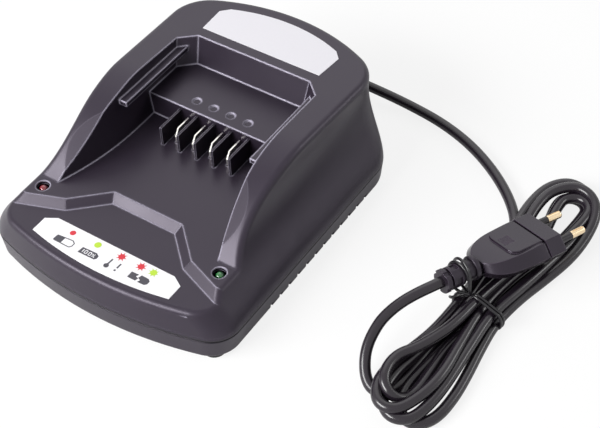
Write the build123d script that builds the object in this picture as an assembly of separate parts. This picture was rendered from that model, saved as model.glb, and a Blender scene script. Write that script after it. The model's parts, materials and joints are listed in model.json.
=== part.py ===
"""Power tool battery charger: two moulded shells, open battery bay, circuit board, mains lead and plug.

Millimetres.  +X is the right-hand side seen from the label, +Y the back, +Z up.
The origin is the middle of the case's footprint, on the surface that the feet stand on.
"""
from build123d import *
from math import atan2, cos, degrees, exp, hypot, pi, radians, sin, sqrt, tan
import os

# ---------------------------------------------------------------- case, overall
body_width = 151.2              # across the parting line
body_length = 193.2
foot_height = 2.2               # how far the rubber feet stand out
base_height = 12.3              # lower shell, underside to parting line
panel_rise = 15.9               # label panel above the parting line
bay_step = 4.0                  # battery floor above the label panel
arm_rise = 31.3                 # top of the case above the battery floor
wall = 2.5                      # moulded wall
parting_gap = 0.5               # shadow line between the shells

# ---------------------------------------------------------------- case, plan outline
front_bow = 13.02               # the front is bowed by this across the whole width
back_bow = 29.01                # and the back
front_corner = 16.0
back_corner = 24.0
side_sweep_front = 18.6         # each side sweeps in by this up to the top, at the front end
side_sweep_back = 14.0          # and at the back end
flare_height = 18.4             # the sides sweep in over about this height
flare_power = 1.9
front_draft = 0.20              # run per unit of rise
back_draft = 0.012
base_draft = 0.13
edge_round = 3.4                # rounding of the upper outer edges

# ---------------------------------------------------------------- zigzag step between panel and bay floor
ridge_depth_outer = 27.9        # from the front of the case to the step's upper edge, at its outer knee
ridge_depth_knee = 35.7
ridge_depth_middle = 52.9
ridge_outer_inset = 14.1        # the outer knee, in from the side of the case
ridge_knee_inset = 35.4         # the next knee, in from the side
ridge_middle = 21.8             # half span of the middle one
ridge_slope_run = 4.6           # the sloped band's width in plan

# ---------------------------------------------------------------- arms and battery bay
arm_foot_depth = 42.7           # front of the case to the arm's foot
arm_foot_blend = 1.6            # hollow rounding where an arm leaves the floor
arm_shoulder_run = 68.0         # foot to where the arm's top is level
top_fall = 3.0                  # the top slopes down towards the back
bay_floor_width = 83.4          # between the inner walls at the floor
bay_mouth_width = 102.8         # between the arms' feet
bay_draft = 5.6                 # degrees
bay_lead_in = 54.0              # length over which the walls flare out to the mouth
bay_back_inset = 43.6           # back of the case to the back wall of the bay, at the top
bay_back_lean = 5.5             # the back wall leans by this from its foot to the top
bay_corner_run = 8.6            # chamfer across the bay's back corners
bay_corner_depth = 8.0
block_length = 37.7             # bay's back wall to the front of the step over the contacts
block_rise = 14.1               # height of that step over the floor
bevel_foot = (-1.3, 5.2, 4.9)  # arm's inner bevel, lower end: outside the mouth, behind the foot, over the floor
bevel_top = (-6.1, 34.9, 24.6)  # its upper end
bevel_crest = (3.1, 17.3, 14.6)  # a point where it meets the arm's top
rail_inset = 2.4                # rail's inner side in from the bay's wall at the floor
rail_rise = 22.0                # underside of a rail over the floor
rail_height = 3.0
rail_length = 60.2              # forward of the bay's back wall
dimple_radius = 2.4
dimple_sink = 0.7
dimple_set = 7.5                # row of dimples behind the front of the step

# ---------------------------------------------------------------- contacts
contact_pitch = 11.1
contact_count = 4
rib_thickness = 1.3
rib_length = 17.8               # forward of the step
rib_rise = 11.8
rib_gap = 0.1                   # clearance of a rib in its slot
rib_back_gap = 0.3              # between a rib and the step
blade_thickness = 0.8
blade_inset = 4.9               # front edge of a blade behind the front edge of the ribs
blade_back_gap = 0.9
blade_rise = 8.5
blade_chamfer = 2.8
guard_margin = 0.8              # the guard's block stands out in front of the ribs by this
guard_side = 2.0                # and beside them
fit_gap = 0.3                   # clearance round what passes through or stands beside a wall

# ---------------------------------------------------------------- lamps
lamp_inset = 19.1               # in from the side of the case
lamp_depth = 36.7               # front of the case to the lamps
lamp_hole = 7.2
lamp_diameter = 5.0
lamp_flange = 5.8
lamp_height = 8.6
lamp_sink = 0.5                 # dome top below the pad
lamp_lead = 0.5

# ---------------------------------------------------------------- labels
label_thickness = 0.2
label_half_span = 43.4
label_front_depth = 12.6        # front of the case to the label's front corners
label_side = 9.4
label_corner_run = 6.2
label_corner_depth = 3.6
label_bow = 4.8                 # the front edge bows out by this
sticker_half_span = 37.8
sticker_gap = 6.0               # behind the bay's back wall
sticker_flare = 1.2
sticker_side = 17.2
sticker_corner_run = 4.4
sticker_corner_depth = 4.7
sticker_bow = 6.8

# ---------------------------------------------------------------- base: feet, screws, vents
foot_radius = 6.2
foot_front = (11.6, 18.2)       # in from the side, in from the front
foot_back = (16.6, 27.6)        # in from the side, in from the back
foot_seat = 1.2                 # depth of the recess that holds a foot
post_radius = 4.2
post_front = (25.6, 16.8)       # in from the side, in from the front
post_back = (30.6, 20.6)        # in from the side, in from the back
screw_radius = 1.5
screw_head_radius = 3.1
screw_head_height = 2.2
screw_length = 13.0
screw_counterbore = 3.2
vent_count = 12
vent_pitch = 8.1
vent_width = 2.2
vent_height = 3.4
vent_reach = 9.0                # how far a vent runs in under the base
vent_first_depth = 53.6         # front of the case to the first vent
lip_height = 1.8                # tongue of the lower shell inside the upper one
lip_thickness = 1.1
lip_gap = 0.2

# ---------------------------------------------------------------- circuit board and what it carries
board_side_gap = 12.1           # board's edges in from the case's sides, front and back
board_front_gap = 30.6
board_back_gap = 35.6
board_thickness = 1.6
board_corner = 3.0
board_standoff = 5.0
standoff_radius = 3.4
standoff_front = (21.5, 8.0)    # in from the board's side, in from its front edge
standoff_back = (7.5, 7.0)      # in from the board's side, in from its back edge
board_screw_radius = 1.3
board_screw_head = 2.6
board_screw_head_height = 1.8

# places on the board: from the middle, in front of the board's back edge
core_place = (4.0, 23.0)
core_size = (33.0, 29.0, 26.0)  # transformer: across, along, high
core_leg = 7.0
core_foot = 4.0
bobbin_gap = 0.2
input_capacitor_place = (-50.0, 73.5)
input_capacitor_radius = 8.0
input_capacitor_length = 31.5
output_capacitor_radius = 5.0
output_capacitor_height = 16.5
output_capacitor_places = ((33.0, 75.0), (33.0, 87.0))
choke_place = (-46.0, 31.0)
choke_radius = 9.5
choke_hole = 4.0
choke_depth = 9.0
choke_base = (20.0, 17.0, 2.5)
suppression_place = (-48.0, 53.0)
suppression_size = (9.0, 18.0, 14.5)
bridge_place = (-33.0, 64.0)
bridge_size = (4.2, 19.0, 13.0)
fuse_place = (-44.0, 11.0)
fuse_radius = 2.3
fuse_cap_radius = 2.6
fuse_cap_length = 4.4
fuse_span = 16.0
fuse_height = 4.0
primary_place = (-20.9, 25.0)   # front faces of the upright power parts
secondary_place = (30.0, 25.0)
package_body = (10.0, 3.2, 9.2)
package_tab = (1.3, 15.6)       # thickness, height
package_leg = (1.1, 0.6)
package_lift = 5.0
leg_pitch = 2.54
heatsink_size = (26.0, 6.0, 27.0)
heatsink_sheet = 2.0
heatsink_fin = 1.2
controller_place = (-6.0, 91.0)
controller_size = (6.4, 10.4, 3.2)
optocoupler_place = (12.0, 85.0)
optocoupler_size = (6.4, 5.2, 3.2)
chip_lift = 0.8

# ---------------------------------------------------------------- mains lead, where it leaves the case
cord_diameter = 5.8
cord_exit_span = -18.0          # half span of the place where the lead leaves the back wall
cord_exit_height = 9.4
boot_bend = 20.0                # radius of the bent boot
boot_turn = 78.0                # degrees
boot_root_radius = 5.0
boot_tip_radius = 3.7
boot_neck_radius = 3.8          # where it passes the wall
boot_flange_radius = 4.5
boot_flange = 1.6
boot_seat_inset = 6.2           # back of the case to the flat seat of the flange
clamp_inset = 16.2              # back of the case to the middle of the cord clamp
clamp_width = 19.0
clamp_length = 6.0
clamp_screw_span = 6.4
wire_diameter = 1.9
live_pad = (-52.0, 5.0)         # place on the board, as above
neutral_pad = (-34.0, 4.0)

# ---------------------------------------------------------------- mains lead, as it lies
hank_height = 11.6
hank_round = 3.6
waist_y = 6.6                   # where the tie pulls the hank together
tie_thickness = 1.2
tie_width = 4.0
tie_strand = 1.1                # radius of the twisted strands between the two loops
plug_start = (147.8, -2.1, 26.75)  # end of the plug's neck
plug_heading = 66.4             # degrees from +X, in plan
plug_pitch = -5.0               # the plug's face lies lower than its neck
plug_roll = 12.0                # and its side towards +X higher
plug_neck_length = 21.8
plug_body_length = 43.0
plug_width = 35.3
plug_thickness = 13.7
plug_face_length = 9.4          # full section behind the face
plug_groove = 1.0               # groove behind the face block
plug_pad_length = 18.6          # raised flat of the grip
plug_pad_width = 22.0
plug_pad_corner = 5.0
plug_pad_rise = 1.0
grip_patch = 6.4                # square of fine grip lines on the raised flat
grip_line = 0.35
neck_end_radius = 6.2           # lobed ring at the cord's end
neck_end_length = 2.4
neck_collar_radius = 5.9
neck_collar_length = 7.0
neck_waist_radius = 4.9         # where the tie holds the neck
neck_core_radius = 4.4
neck_flange_radius = 6.4
neck_flange_length = 3.0
neck_slot = 1.4                 # open slots before the flange's far side and behind the end ring
tie_neck_place = 12.0           # neck end to the tie
pin_length = 19.0
pin_diameter = 4.0
pin_pitch_root = 18.6
pin_pitch_tip = 17.5
sleeve_length = 10.0
pin_seam = 0.5                  # lengthwise seam of the folded pins

# ---------------------------------------------------------------- places worked out from the sizes above
front_radius = (body_width ** 2 / 4 + front_bow ** 2) / (2 * front_bow)
back_radius = (body_width ** 2 / 4 + back_bow ** 2) / (2 * back_bow)
front = -body_length / 2
back = body_length / 2
parting = foot_height + base_height
panel_z = parting + panel_rise
floor_z = panel_z + bay_step
top_z = floor_z + arm_rise
beyond = 30.0                   # cutting solids run past the case by this
board_z = foot_height + wall + board_standoff
board_top = board_z + board_thickness
bay_back_y = back - bay_back_inset
block_y = bay_back_y - block_length
rib_y = block_y - rib_length
blade_y = rib_y + blade_inset
blade_end_y = block_y - blade_back_gap
lamp_x = body_width / 2 - lamp_inset
lamp_y = front + lamp_depth
board_half = body_width / 2 - board_side_gap
board_front = front + board_front_gap
board_back = back - board_back_gap
boot_seat_y = back - boot_seat_inset
clamp_y = back - clamp_inset
C = Align.CENTER
MIN = Align.MIN
MAX = Align.MAX
shell_bottom = parting + parting_gap


def behind(depth):
    """Y of a place that lies a depth behind the front of the case."""
    return front + depth


# ---------------------------------------------------------------- outer form
def outline(half_front, half_back, y_front, y_back, inset):
    """Plan outline: tapered sides, bowed front and back, rounded corners."""
    hf = half_front - inset
    hb = half_back - inset
    yf = y_front + inset
    yb = y_back - inset
    sides = Polygon((-hf, yf), (hf, yf), (hb, yb), (-hb, yb), align=None)
    bow_front = Pos(0, yf + front_radius - inset) * Circle(front_radius - inset)
    bow_back = Pos(0, yb - back_radius + inset) * Circle(back_radius - inset)
    shape = sides - (Rectangle(2 * body_width, body_length, align=(C, MAX)) - bow_front)
    shape -= Rectangle(2 * body_width, body_length, align=(C, MIN)) - bow_back
    corners = shape.vertices().sort_by(Axis.Y)
    shape = fillet(corners[:2], front_corner - inset)
    return fillet(shape.vertices().sort_by(Axis.Y)[-2:], back_corner - inset)


def upper_outline(z, inset=0.0):
    """The upper shell's outline at a height: the sides sweep in as a bell does."""
    rise = z - parting
    flare = exp(-((max(rise, 0) / flare_height) ** flare_power))
    half_front = body_width / 2 - side_sweep_front * (1 - flare)
    half_back = body_width / 2 - side_sweep_back * (1 - flare)
    face = outline(half_front, half_back, front + front_draft * rise, back - back_draft * rise, inset)
    return Pos(0, 0, z) * face


def upper_mass(z_low, z_high, inset=0.0):
    """Flared body between two heights."""
    levels = [0, 0.08, 0.18, 0.3, 0.45, 0.65, 1]
    return loft([upper_outline(z_low + t * (z_high - z_low), inset) for t in levels])


def lower_outline(z, inset=0.0):
    drop = parting - z
    half = body_width / 2 - base_draft * drop
    face = outline(half, half, front + base_draft * drop / 2, back - base_draft * drop / 2, inset)
    return Pos(0, 0, z) * face


def crest(run):
    """Height of the arm's top over the floor, at a run behind the arm's foot."""
    share = run / arm_shoulder_run
    return arm_rise * (1 - (1 - share) ** 2.15)


def side_profile(drop=0.0):
    """Side view of the case as a solid across its full width: pad, arm, sloping top."""
    foot_y = behind(arm_foot_depth) + drop
    low = parting - beyond
    runs = [arm_shoulder_run * share for share in (0, 0.12, 0.26, 0.42, 0.6, 0.8, 1)]
    knots = [(0, foot_y + run, floor_z + crest(run) - drop) for run in runs]
    foot = knots[0]
    shoulder = knots[-1]
    slope = -top_fall / (back - shoulder[1])
    arm = Spline(knots, tangents=[(0, 1, 1), (0, 1, slope)])
    end_y = back + beyond
    end_z = shoulder[2] + slope * (end_y - shoulder[1])
    rest = Polyline(
        shoulder, (0, end_y, end_z), (0, end_y, low),
        (0, front - beyond, low), (0, front - beyond, foot[2]), foot,
    )
    solid = extrude(make_face([arm, *rest.edges()]), body_width, dir=(1, 0, 0), both=True)
    corner = [e for e in solid.edges() if abs(e.center().Y - foot_y) < 0.01 and e.center().Z > foot[2] - 0.01]
    return fillet(corner, arm_foot_blend)


def mitred(chain, distance):
    """An open chain of plan points moved sideways, to its right, by a distance."""
    normals = []
    for (x0, y0), (x1, y1) in zip(chain, chain[1:]):
        length = hypot(x1 - x0, y1 - y0)
        normals.append(((y1 - y0) / length, (x0 - x1) / length))
    moved = []
    for index, (x, y) in enumerate(chain):
        nx0, ny0 = normals[max(index - 1, 0)]
        nx1, ny1 = normals[min(index, len(normals) - 1)]
        scale = distance / (1 + nx0 * nx1 + ny0 * ny1)
        moved.append((x + (nx0 + nx1) * scale, y + (ny0 + ny1) * scale))
    return moved


def zigzag(distance):
    """The zigzag line between label panel and lamp pads, moved forward by a distance."""
    ridge_outer = body_width / 2 - ridge_outer_inset
    knees = [
        (ridge_middle, behind(ridge_depth_middle)),
        (body_width / 2 - ridge_knee_inset, behind(ridge_depth_knee)),
        (ridge_outer, behind(ridge_depth_outer)),
    ]
    reach = body_width / 2 + beyond
    slope = (knees[1][1] - knees[2][1]) / (knees[1][0] - knees[2][0])
    knees.append((reach, knees[2][1] + slope * (reach - ridge_outer)))
    chain = [(-x, y) for x, y in reversed(knees)] + knees
    return mitred(chain, distance)


def panel_cut(drop=0.0):
    """What the label panel is sunk by, with the sloped zigzag band as its rear wall."""
    z_low = panel_z - drop
    z_high = floor_z + beyond
    per_rise = ridge_slope_run / bay_step
    start = ridge_slope_run - drop / 2
    rims = []
    for z, distance in ((z_low, start), (z_high, start - per_rise * (z_high - z_low))):
        line = zigzag(distance)
        reach = abs(line[0][0])
        corners = [(reach, front - beyond), (-reach, front - beyond)]
        rims.append(Pos(0, 0, z) * Polygon(*line, *corners, align=None))
    return loft(rims, ruled=True)


# ---------------------------------------------------------------- battery bay
def bay_half(z):
    """Half width between the bay's drafted walls."""
    return bay_floor_width / 2 + (z - floor_z) * tan(radians(bay_draft))


def bay_lower(grow=0.0):
    """Room between the arms, from the mouth to the step over the contacts."""
    spread = (bay_mouth_width - bay_floor_width) / 2
    lead_radius = (bay_lead_in ** 2 + spread ** 2) / (2 * spread)
    mouth_y = behind(arm_foot_depth) - 2
    arc_y = behind(arm_foot_depth) + bay_lead_in
    end_y = block_y + grow
    plans = []
    for z in (floor_z - grow, top_z + 5):
        half = bay_half(z) + grow
        mouth = half + lead_radius - sqrt(lead_radius ** 2 - (arc_y - mouth_y) ** 2)
        edges = [
            TangentArc((half, arc_y), (mouth, mouth_y), tangent=(0, -1)),
            Line((mouth, mouth_y), (-mouth, mouth_y)),
            TangentArc((-half, arc_y), (-mouth, mouth_y), tangent=(0, -1)),
            *Polyline((-half, arc_y), (-half, end_y), (half, end_y), (half, arc_y)).edges(),
        ]
        plans.append(Pos(0, 0, z) * make_face(edges))
    return loft(plans, ruled=True)


def bay_upper(grow=0.0):
    """Room over the contact block, up to the leaning back wall with its chamfered corners."""
    block_top = floor_z + block_rise
    plans = []
    for z in (block_top - grow, top_z + 5):
        half = bay_half(z) + grow
        lean = bay_back_lean * (top_z - z) / (top_z - block_top)
        back_y = bay_back_y - lean + grow
        start_y = block_y - rib_length / 3
        right = [(half, start_y), (half, back_y - bay_corner_depth), (half - bay_corner_run, back_y)]
        left = [(-x, y) for x, y in reversed(right)]
        plans.append(Pos(0, 0, z) * Polygon(*right, *left, align=None))
    return loft(plans, ruled=True)


def bevel_cut(side, grow=0.0):
    """Slanting cut that takes the inner top edge off an arm's front end."""
    foot_y = behind(arm_foot_depth)
    mouth = bay_mouth_width / 2
    marks = (bevel_foot, bevel_top, bevel_crest)
    low, high, crest_point = [Vector(side * (mouth + x), foot_y + run, floor_z + rise) for x, run, rise in marks]
    normal = (high - low).cross(crest_point - low).normalized()
    if normal.Z < 0:
        normal = -normal
    slab = Plane(origin=low - normal * grow, z_dir=normal) * Box(160, 160, 60, align=(C, C, MIN))
    room = Box(30, bay_lead_in + 8, 60, align=(C, MIN, MIN))
    room = Pos(side * mouth, foot_y - 4, floor_z - grow) * room
    return slab & room


def rib_places():
    return [contact_pitch * (index - contact_count / 2) for index in range(contact_count + 1)]


def contact_places():
    first = -contact_pitch * (contact_count - 1) / 2
    return [first + contact_pitch * index for index in range(contact_count)]


# ---------------------------------------------------------------- moulded shells
def rim_edges(shape):
    """Edges where the outer skin of the upper shell meets its upper surfaces."""
    seen = {}
    for face in shape.faces():
        box = face.bounding_box()
        if box.min.Z < shell_bottom + 0.01 and box.size.Z > 1:
            for edge in face.edges():
                seen.setdefault(edge, []).append(face)
    return [e for e, faces in seen.items() if len(faces) == 1 and e.bounding_box().min.Z > shell_bottom + 1]


def four_places(at_front, at_back, half, y_front, y_back):
    """Two pairs of places: each in from the side, and in from the front or the back."""
    pairs = [(half - at_front[0], y_front + at_front[1]), (half - at_back[0], y_back - at_back[1])]
    return [(side * x, y) for x, y in pairs for side in (-1, 1)]


def post_places():
    return four_places(post_front, post_back, body_width / 2, front, back)


def upper_housing():
    """Cover with label panel, lamp pads, arms, battery bay, guide rails and screw posts."""
    shell = (upper_mass(shell_bottom, top_z + 5) & side_profile()) - panel_cut()
    shell = fillet(rim_edges(shell), edge_round)
    room = (upper_mass(shell_bottom - 2, top_z + 5, wall) & side_profile(wall)) - panel_cut(wall)
    shell -= bay_lower() + bay_upper()
    room -= bay_lower(wall) + bay_upper(wall)
    for side in (-1, 1):
        shell -= bevel_cut(side)
        room -= bevel_cut(side, wall)
    shell -= room
    rebate = extrude(lower_outline(parting, wall - lip_thickness - lip_gap), lip_height + lip_gap)
    shell -= rebate
    # posts for the case screws
    meet = parting + parting_gap / 2
    for x, y in post_places():
        ceiling = panel_z if y < 0 else top_z - top_fall
        post = Cylinder(post_radius, ceiling - 1.5 - meet, align=(C, C, MIN))
        bore_depth = foot_height + screw_counterbore + screw_length - meet + 1.5
        bore = Cylinder(screw_radius + 0.1, bore_depth, align=(C, C, MIN))
        shell = shell + Pos(x, y, meet) * post - Pos(x, y, meet) * bore
    # guide rails for the battery's foot
    rail_start = bay_back_y - rail_length
    rail_end = bay_back_y - bay_back_lean + wall
    for side in (-1, 1):
        inner = bay_floor_width / 2 - rail_inset
        outer = bay_half(floor_z + rail_rise) + 1.5
        place = Pos(side * (inner + outer) / 2, rail_start, floor_z + rail_rise)
        shell += place * Box(outer - inner, rail_end - rail_start, rail_height, align=(C, MIN, MIN))
    # slots for the partition ribs and the blades, dimples over them
    for x in rib_places():
        slot = Box(rib_thickness + 2 * rib_gap, rib_length + rib_gap, 3 * wall, align=(C, MIN, C))
        shell -= Pos(x, rib_y - rib_gap, floor_z - wall) * slot
    for x in contact_places():
        slot_length = blade_end_y - blade_y + 2 * fit_gap
        slot = Box(blade_thickness + 2 * fit_gap, slot_length, 3 * wall, align=(C, MIN, C))
        shell -= Pos(x, blade_y - fit_gap, floor_z - wall) * slot
        dimple = Cylinder(dimple_radius, 2 * dimple_sink)
        shell -= Pos(x, block_y + dimple_set, floor_z + block_rise) * dimple
    for side in (-1, 1):
        shell -= Pos(side * lamp_x, lamp_y, floor_z) * Cylinder(lamp_hole / 2, 4 * wall)
    return shell.clean()


def standoff_places():
    return four_places(standoff_front, standoff_back, board_half, board_front, board_back)


def foot_places():
    return four_places(foot_front, foot_back, body_width / 2, front, back)


def lower_mass():
    return loft([lower_outline(foot_height), lower_outline(parting)], ruled=True)


def lower_housing():
    """Base with vents, foot recesses, screw bosses, board standoffs and cord cradle."""
    inside = foot_height + wall
    mass = lower_mass()
    shell = fillet(mass.edges().group_by(Axis.Z)[0], 1.2)
    tongue = extrude(lower_outline(parting, wall - lip_thickness), lip_height + 1)
    shell += Pos(0, 0, -1) * tongue
    shell -= loft([lower_outline(inside, wall), lower_outline(parting + 5, wall)], ruled=True)
    for x, y in post_places():
        meet = parting + parting_gap / 2
        shell += Pos(x, y, inside - 0.5) * Cylinder(post_radius, meet - inside + 0.5, align=(C, C, MIN))
        shell -= Pos(x, y, foot_height) * Cylinder(screw_head_radius + 0.3, screw_counterbore * 2)
        shell -= Pos(x, y, foot_height) * Cylinder(screw_radius + 0.25, 60)
    for x, y in standoff_places():
        boss = Cylinder(standoff_radius, board_standoff + 0.5, align=(C, C, MIN))
        bore = Cylinder(board_screw_radius + 0.1, board_standoff, align=(C, C, MIN))
        shell = shell + Pos(x, y, inside - 0.5) * boss - Pos(x, y, inside) * bore
    for x, y in foot_places():
        shell -= Pos(x, y, foot_height) * Cylinder(foot_radius + 0.1, foot_seat * 2)
    for index in range(vent_count):
        y = behind(vent_first_depth) + vent_pitch * index
        for side in (-1, 1):
            vent = Box(vent_reach + 8, vent_width, vent_height * 2)
            shell -= Pos(side * (body_width / 2 + 4 - vent_reach / 2), y, foot_height) * vent
    # cord exit: flat seat for the boot's flange and a round hole through the wall
    pad = Box(2.8 * boot_root_radius, boot_seat_inset, parting - inside + 0.2, align=(C, MIN, MIN))
    shell += (Pos(cord_exit_span, boot_seat_y, inside - 0.5) * pad) & mass
    hole = Rot(90, 0, 0) * Cylinder(boot_neck_radius + 0.15, 40)
    shell -= Pos(cord_exit_span, back, cord_exit_height) * hole
    # cradle under the cord clamp
    cradle = Box(clamp_width, clamp_length, cord_exit_height - 0.4 - inside + 0.5, align=(C, C, MIN))
    cradle = Pos(cord_exit_span, clamp_y, inside - 0.5) * cradle
    groove = Pos(cord_exit_span, clamp_y, cord_exit_height) * Rot(90, 0, 0)
    shell += cradle - groove * Cylinder(cord_diameter / 2, 30)
    for side in (-1, 1):
        bore = Cylinder(board_screw_radius + 0.1, 20, align=(C, C, MIN))
        shell -= Pos(cord_exit_span + side * clamp_screw_span, clamp_y, inside) * bore
    return shell.clean()


# ---------------------------------------------------------------- small fittings of the case
def screw(shaft_radius, length, head_radius, head_height):
    """Pan-head screw pointing up, the underside of its head at the origin, cross recess below."""
    head = Pos(0, 0, -head_height) * Cylinder(head_radius, head_height, align=(C, C, MIN))
    head = fillet(head.edges().group_by(Axis.Z)[0], head_height * 0.4)
    slot = Box(head_radius * 1.2, head_radius * 0.28, head_height * 0.9)
    cross = slot + Rot(0, 0, 90) * slot
    return head + Cylinder(shaft_radius, length, align=(C, C, MIN)) - Pos(0, 0, -head_height) * cross


def gather(pieces):
    """Identical pieces in one file."""
    return Compound(children=[piece.solid() for piece in pieces])


def rubber_feet():
    pad = Cylinder(foot_radius, foot_height + foot_seat, align=(C, C, MIN))
    pad = fillet(pad.edges().group_by(Axis.Z)[0], 0.7)
    return gather([Pos(x, y, 0) * pad for x, y in foot_places()])


def housing_screws():
    one = screw(screw_radius, screw_length, screw_head_radius, screw_head_height)
    return gather([Pos(x, y, foot_height + screw_counterbore) * one for x, y in post_places()])


def status_label():
    """Thin label on the sunken panel: chamfered rear corners, front edge bowed with the case."""
    front_y = behind(label_front_depth)
    right = [
        (label_half_span, front_y),
        (label_half_span, front_y + label_side),
        (label_half_span - label_corner_run, front_y + label_side + label_corner_depth),
    ]
    left = [(-x, y) for x, y in reversed(right)]
    bow = ThreePointArc(left[-1], (0, front_y - label_bow), right[0])
    sheet = make_face([bow, *Polyline(*right, *left).edges()])
    return Pos(0, 0, panel_z) * extrude(sheet, label_thickness)


def top_label():
    """Thin blank label on the sloping top behind the bay, rear edge bowed with the case."""
    front_y = bay_back_y + sticker_gap
    wide = sticker_half_span + sticker_flare
    right = [
        (sticker_half_span, front_y),
        (wide, front_y + sticker_side),
        (wide - sticker_corner_run, front_y + sticker_side + sticker_corner_depth),
    ]
    left = [(-x, y) for x, y in right]
    crown = front_y + sticker_side + sticker_corner_depth + sticker_bow
    bow = ThreePointArc(right[-1], (0, crown), left[-1])
    rim = Polyline(*reversed(left), *right)
    prism = Pos(0, 0, floor_z) * extrude(make_face([bow, *rim.edges()]), arm_rise + 5)
    sheet = Pos(0, 0, label_thickness) * side_profile() - side_profile()
    return prism & sheet


def lamp_place(side):
    return Pos(side * lamp_x, lamp_y, floor_z - lamp_sink - lamp_height)


def lamp(side):
    """Five millimetre lamp with a domed top and a flange."""
    radius = lamp_diameter / 2
    body = Cylinder(radius, lamp_height - radius, align=(C, C, MIN))
    dome = Pos(0, 0, lamp_height - radius) * Sphere(radius)
    flange = Cylinder(lamp_flange / 2, 1.0, align=(C, C, MIN))
    return lamp_place(side) * (body + dome + flange)


def lamp_spacers():
    """Black tubes that hold the lamps at height over the board."""
    height = floor_z - lamp_sink - lamp_height - board_top
    tube = Cylinder(lamp_flange / 2 + 0.3, height, align=(C, C, MIN))
    tube -= Cylinder(lamp_flange / 2 - 0.9, height, align=(C, C, MIN))
    return gather([Pos(side * lamp_x, lamp_y, board_top) * tube for side in (-1, 1)])


def lamp_leads():
    height = floor_z - lamp_sink - lamp_height - board_top
    lead = Box(lamp_lead, lamp_lead, height, align=(C, C, MIN))
    places = [(side * lamp_x + step, lamp_y) for side in (-1, 1) for step in (-leg_pitch / 2, leg_pitch / 2)]
    return gather([Pos(x, y, board_top) * lead for x, y in places])


# ---------------------------------------------------------------- contacts
def contact_guard():
    """Moulded block under the bay floor that holds the blades; its ribs stand up through the floor."""
    height = floor_z - wall - board_top
    length = rib_length + guard_margin - rib_back_gap
    block = Box(contact_pitch * contact_count + 2 * guard_side, length, height, align=(C, MIN, MIN))
    block = Pos(0, rib_y - guard_margin, board_top) * block
    for x in rib_places():
        rib = Box(rib_thickness, rib_length - rib_back_gap, floor_z + rib_rise - board_top, align=(C, MIN, MIN))
        block += Pos(x, rib_y, board_top) * rib
    for x in contact_places():
        slot = Box(blade_thickness, blade_end_y - blade_y, height * 3, align=(C, MIN, C))
        block -= Pos(x, blade_y, board_top) * slot
    return block


def contact_blades():
    """Flat spring blades, their front top corners cut off."""
    length = blade_end_y - blade_y
    height = floor_z + blade_rise - board_top
    side = Polygon(
        (0, 0), (length, 0), (length, height), (blade_chamfer, height), (0, height - blade_chamfer * 1.5),
        align=None,
    )
    blade = extrude(Plane.YZ * side, blade_thickness / 2, both=True)
    return gather([Pos(x, blade_y, board_top) * blade for x in contact_places()])


# ---------------------------------------------------------------- circuit board and parts on it
def circuit_board():
    board = Box(2 * board_half, board_back - board_front, board_thickness, align=(C, MIN, MIN))
    board = fillet(board.edges().filter_by(Axis.Z), board_corner)
    board = Pos(0, board_front, board_z) * board
    for x, y in standoff_places():
        board -= Pos(x, y, board_z) * Cylinder(board_screw_radius + 0.2, 10)
    return board


def board_screws():
    one = screw(board_screw_radius, board_standoff, board_screw_head, board_screw_head_height)
    return gather([Pos(x, y, board_top) * Rot(180, 0, 0) * one for x, y in standoff_places()])


def standing(place, shape):
    """A part put down on the board."""
    return Pos(place[0], board_back - place[1], board_top) * shape


def block_on_board(place, size):
    box = Box(*size, align=(C, C, MIN))
    return standing(place, fillet(box.edges().group_by(Axis.Z)[-1], size[0] * 0.07))


core_window = (core_size[0] - 3 * core_leg) / 2
core_yoke = core_leg * 0.75
core_depth = core_leg * 1.6
core_opening = core_size[2] - core_foot - 2 * core_yoke


def transformer_core():
    """Ferrite E core pair, its windows open to front and back, middle leg through the bobbin."""
    body = Box(core_size[0], core_depth, core_size[2] - core_foot, align=(C, C, MIN))
    for side in (-1, 1):
        hole = Box(core_window, core_depth * 2, core_opening, align=(C, C, MIN))
        body -= Pos(side * (core_leg + core_window) / 2, 0, core_yoke) * hole
    return standing(core_place, Pos(0, 0, core_foot) * body)


def transformer_winding():
    """Bobbin with its foot on the board and the taped winding round the middle leg."""
    width, length, height = core_size
    coil_width = core_leg + 2 * core_window - 2 * bobbin_gap
    base = core_foot + core_yoke + bobbin_gap
    coil = Box(coil_width, length - core_leg, core_opening - 2 * bobbin_gap, align=(C, C, MIN))
    body = Pos(0, 0, base) * fillet(coil.edges().filter_by(Axis.Z), core_leg * 0.35)
    body += Box(width - core_foot, length, core_foot - bobbin_gap, align=(C, C, MIN))
    flange_length = (length - core_depth) / 2 - 2 * bobbin_gap
    for side in (-1, 1):
        flange = Box(coil_width, flange_length, base + core_opening + 1, align=(C, C, MIN))
        body += Pos(0, side * (length - flange_length) / 2, 0) * flange
    leg = Box(core_leg + 2 * bobbin_gap, core_depth + 2 * bobbin_gap, height * 3)
    foot_room = Pos(0, 0, base - bobbin_gap) * Box(width * 2, length * 2, height * 3, align=(C, C, MIN))
    return standing(core_place, body - (leg & foot_room))


def round_capacitor(radius, height):
    """Sleeved can with a rolled groove near its foot."""
    can = Cylinder(radius, height, align=(C, C, MIN))
    can = fillet(can.edges().group_by(Axis.Z)[-1], radius * 0.11)
    groove = Cylinder(radius * 1.1, radius * 0.12) - Cylinder(radius * 0.94, radius * 0.12)
    return can - Pos(0, 0, radius * 0.35) * groove


def input_capacitor():
    """Large can lying on the board on a glue bed, along the side of the bay."""
    radius = input_capacitor_radius
    can = Rot(90, 0, 0) * round_capacitor(radius, input_capacitor_length)
    bed = Box(radius * 1.2, input_capacitor_length * 0.8, radius / 2, align=(C, MAX, MIN))
    body = Pos(0, 0, radius) * can + Pos(0, -input_capacitor_length * 0.1, 0) * bed
    return standing(input_capacitor_place, body)


def output_capacitors():
    can = round_capacitor(output_capacitor_radius, output_capacitor_height)
    return gather([standing(place, can) for place in output_capacitor_places])


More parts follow.
